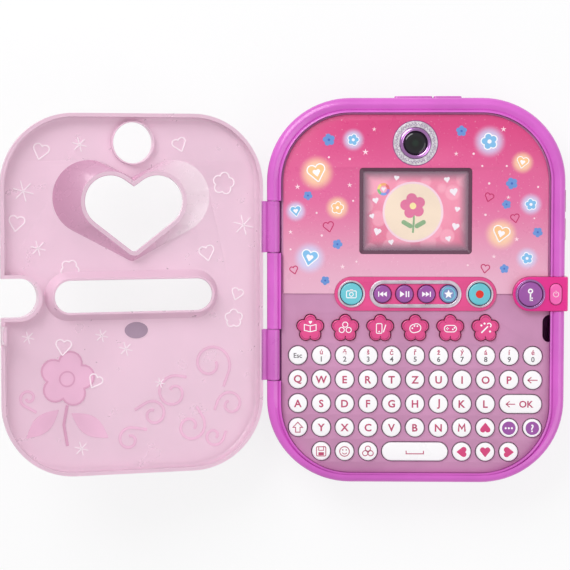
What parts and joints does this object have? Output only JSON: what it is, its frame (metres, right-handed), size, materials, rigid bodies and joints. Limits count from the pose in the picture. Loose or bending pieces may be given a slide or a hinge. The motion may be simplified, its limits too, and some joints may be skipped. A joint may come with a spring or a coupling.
{
  "type": "electronic secret diary",
  "caption": "Book-sized toy computer with rounded housing, recessed keyboard, small screen and camera, side lock and a see-through hinged cover with a heart window, folded open.",
  "frame": {"origin": "centre of the housing's flat back face, which it rests on", "axes": "+X across the keys from the hinge side to the lock side, +Y from the keys towards the screen end, +Z out of the face"},
  "size_m": [0.3192, 0.2256, 0.09],
  "materials": {
    "body": "moulded, glossy orchid",
    "face": "satin mauve",
    "upper_print": "printed, rose to pale pink",
    "hot_pink": "glossy hot pink",
    "shadow_mauve": "matte dark mauve",
    "screen_glass": "clear pane",
    "dark_plastic": "matte dark",
    "lilac": "glossy pale lilac",
    "pearl": "pearly silver-white",
    "lens_glass": "dark tinted dome",
    "board_green": "printed circuit board",
    "silicone": "soft silicone sheet",
    "steel": "bright steel",
    "cell_case": "plain cell jacket",
    "magenta": "glossy magenta",
    "foot_rubber": "dark rubber",
    "cover_pink": "frosted see-through pink",
    "teal": "glossy teal",
    "purple": "glossy purple",
    "blue_grey": "glossy blue-grey",
    "power_pink": "glossy pink",
    "deep_magenta": "glossy deep magenta",
    "flap_rubber": "soft deep magenta",
    "key_white": "glossy white, printed"
  },
  "bodies": {
    "housing": {"rear_cover": "body", "front_frame": "body", "keyboard_face": "face", "upper_face_plate": "upper_print", "strip_tray": "hot_pink", "strip_rings": "pearl", "screen_bezel": "shadow_mauve", "screen_lens": "screen_glass", "display_panel": "dark_plastic", "camera_ring": "pearl", "camera_bezel": "lilac", "camera_lens": "lens_glass", "camera_module": "dark_plastic", "main_board": "board_green", "key_board": "board_green", "keypad_mat": "silicone", "speaker": "steel", "battery_cells": "cell_case", "battery_contacts": "steel", "housing_screws": "steel", "lock_plate": "magenta", "unlock_ring": "lilac", "latch_solenoid": "steel", "hinge_pins": "steel", "port_sockets": "steel", "stand_feet": "foot_rubber"},
    "cover_lid": {"cover": "cover_pink"},
    "photo_button_body": {"photo_button": "teal"},
    "record_button_body": {"record_button": "teal"},
    "previous_button_body": {"previous_button": "purple"},
    "play_button_body": {"play_button": "purple"},
    "next_button_body": {"next_button": "purple"},
    "star_button_body": {"star_button": "blue_grey"},
    "flower_button_1_body": {"flower_button_1": "hot_pink"},
    "flower_button_2_body": {"flower_button_2": "hot_pink"},
    "flower_button_3_body": {"flower_button_3": "hot_pink"},
    "flower_button_4_body": {"flower_button_4": "hot_pink"},
    "flower_button_5_body": {"flower_button_5": "hot_pink"},
    "flower_button_6_body": {"flower_button_6": "hot_pink"},
    "escape_key_body": {"escape_key": "key_white"},
    "number_keys_body": {"number_keys": "key_white"},
    "top_letter_keys_body": {"top_letter_keys": "key_white"},
    "backspace_key_body": {"backspace_key": "key_white"},
    "middle_letter_keys_body": {"middle_letter_keys": "key_white"},
    "shift_key_body": {"shift_key": "key_white"},
    "bottom_letter_keys_body": {"bottom_letter_keys": "key_white"},
    "symbol_keys_body": {"symbol_keys": "key_white"},
    "mode_keys_body": {"mode_keys": "key_white"},
    "arrow_keys_body": {"arrow_keys": "key_white"},
    "enter_key_body": {"enter_key": "key_white"},
    "space_key_body": {"space_key": "key_white"},
    "unlock_button_body": {"unlock_button": "purple"},
    "power_button_body": {"power_button": "power_pink"},
    "volume_up_button_body": {"volume_up_button": "deep_magenta"},
    "volume_down_button_body": {"volume_down_button": "deep_magenta"},
    "latch_bolt_body": {"latch_bolt": "steel"},
    "port_cover_wide_body": {"port_cover_wide": "flap_rubber"},
    "port_cover_narrow_body": {"port_cover_narrow": "flap_rubber"},
    "battery_door_body": {"battery_door": "body"}
  },
  "joints": [
    {"name": "cover_hinge", "type": "hinge", "parent": "housing", "child": "cover_lid", "pos_m": [-0.0818, 0, 0.0308], "axis": [0, 1, 0], "range_deg": [0, 160.5]},
    {"name": "photo_button_press", "type": "slide", "parent": "housing", "child": "photo_button_body", "axis": [0, 0, -1], "range_m": [0, 0.001], "stiffness_N_per_m": 500},
    {"name": "record_button_press", "type": "slide", "parent": "housing", "child": "record_button_body", "axis": [0, 0, -1], "range_m": [0, 0.001], "stiffness_N_per_m": 500},
    {"name": "previous_button_press", "type": "slide", "parent": "housing", "child": "previous_button_body", "axis": [0, 0, -1], "range_m": [0, 0.001], "stiffness_N_per_m": 500},
    {"name": "play_button_press", "type": "slide", "parent": "housing", "child": "play_button_body", "axis": [0, 0, -1], "range_m": [0, 0.001], "stiffness_N_per_m": 500},
    {"name": "next_button_press", "type": "slide", "parent": "housing", "child": "next_button_body", "axis": [0, 0, -1], "range_m": [0, 0.001], "stiffness_N_per_m": 500},
    {"name": "star_button_press", "type": "slide", "parent": "housing", "child": "star_button_body", "axis": [0, 0, -1], "range_m": [0, 0.001], "stiffness_N_per_m": 500},
    {"name": "flower_button_1_press", "type": "slide", "parent": "housing", "child": "flower_button_1_body", "axis": [0, 0, -1], "range_m": [0, 0.001], "stiffness_N_per_m": 500},
    {"name": "flower_button_2_press", "type": "slide", "parent": "housing", "child": "flower_button_2_body", "axis": [0, 0, -1], "range_m": [0, 0.001], "stiffness_N_per_m": 500},
    {"name": "flower_button_3_press", "type": "slide", "parent": "housing", "child": "flower_button_3_body", "axis": [0, 0, -1], "range_m": [0, 0.001], "stiffness_N_per_m": 500},
    {"name": "flower_button_4_press", "type": "slide", "parent": "housing", "child": "flower_button_4_body", "axis": [0, 0, -1], "range_m": [0, 0.001], "stiffness_N_per_m": 500},
    {"name": "flower_button_5_press", "type": "slide", "parent": "housing", "child": "flower_button_5_body", "axis": [0, 0, -1], "range_m": [0, 0.001], "stiffness_N_per_m": 500},
    {"name": "flower_button_6_press", "type": "slide", "parent": "housing", "child": "flower_button_6_body", "axis": [0, 0, -1], "range_m": [0, 0.001], "stiffness_N_per_m": 500},
    {"name": "escape_key_press", "type": "slide", "parent": "housing", "child": "escape_key_body", "axis": [0, 0, -1], "range_m": [0, 0.001], "stiffness_N_per_m": 500},
    {"name": "number_keys_press", "type": "slide", "parent": "housing", "child": "number_keys_body", "axis": [0, 0, -1], "range_m": [0, 0.001], "stiffness_N_per_m": 500},
    {"name": "top_letter_keys_press", "type": "slide", "parent": "housing", "child": "top_letter_keys_body", "axis": [0, 0, -1], "range_m": [0, 0.001], "stiffness_N_per_m": 500},
    {"name": "backspace_key_press", "type": "slide", "parent": "housing", "child": "backspace_key_body", "axis": [0, 0, -1], "range_m": [0, 0.001], "stiffness_N_per_m": 500},
    {"name": "middle_letter_keys_press", "type": "slide", "parent": "housing", "child": "middle_letter_keys_body", "axis": [0, 0, -1], "range_m": [0, 0.001], "stiffness_N_per_m": 500},
    {"name": "shift_key_press", "type": "slide", "parent": "housing", "child": "shift_key_body", "axis": [0, 0, -1], "range_m": [0, 0.001], "stiffness_N_per_m": 500},
    {"name": "bottom_letter_keys_press", "type": "slide", "parent": "housing", "child": "bottom_letter_keys_body", "axis": [0, 0, -1], "range_m": [0, 0.001], "stiffness_N_per_m": 500},
    {"name": "symbol_keys_press", "type": "slide", "parent": "housing", "child": "symbol_keys_body", "axis": [0, 0, -1], "range_m": [0, 0.001], "stiffness_N_per_m": 500},
    {"name": "mode_keys_press", "type": "slide", "parent": "housing", "child": "mode_keys_body", "axis": [0, 0, -1], "range_m": [0, 0.001], "stiffness_N_per_m": 500},
    {"name": "arrow_keys_press", "type": "slide", "parent": "housing", "child": "arrow_keys_body", "axis": [0, 0, -1], "range_m": [0, 0.001], "stiffness_N_per_m": 500},
    {"name": "enter_key_press", "type": "slide", "parent": "housing", "child": "enter_key_body", "axis": [0, 0, -1], "range_m": [0, 0.001], "stiffness_N_per_m": 500},
    {"name": "space_key_press", "type": "slide", "parent": "housing", "child": "space_key_body", "axis": [0, 0, -1], "range_m": [0, 0.001], "stiffness_N_per_m": 500},
    {"name": "unlock_button_press", "type": "slide", "parent": "housing", "child": "unlock_button_body", "axis": [0, 0, -1], "range_m": [0, 0.0012], "stiffness_N_per_m": 500},
    {"name": "power_button_press", "type": "slide", "parent": "housing", "child": "power_button_body", "axis": [0, 0, -1], "range_m": [0, 0.001], "stiffness_N_per_m": 700},
    {"name": "volume_up_button_press", "type": "slide", "parent": "housing", "child": "volume_up_button_body", "axis": [-1, 0, 0], "range_m": [0, 0.0008], "stiffness_N_per_m": 700},
    {"name": "volume_down_button_press", "type": "slide", "parent": "housing", "child": "volume_down_button_body", "axis": [-1, 0, 0], "range_m": [0, 0.0008], "stiffness_N_per_m": 700},
    {"name": "latch_bolt_slide", "type": "slide", "parent": "housing", "child": "latch_bolt_body", "axis": [1, 0, 0], "range_m": [0, 0.003]},
    {"name": "port_cover_wide_hinge", "type": "hinge", "parent": "housing", "child": "port_cover_wide_body", "pos_m": [-0.00145, 0.1121, 0.0185], "axis": [-1, 0, 0], "range_deg": [0, 100]},
    {"name": "port_cover_narrow_hinge", "type": "hinge", "parent": "housing", "child": "port_cover_narrow_body", "pos_m": [0.0182, 0.1121, 0.0185], "axis": [-1, 0, 0], "range_deg": [0, 100]},
    {"name": "battery_door_lift", "type": "slide", "parent": "housing", "child": "battery_door_body", "axis": [0, 0, -1], "range_m": [0, 0.012]}
  ]
}
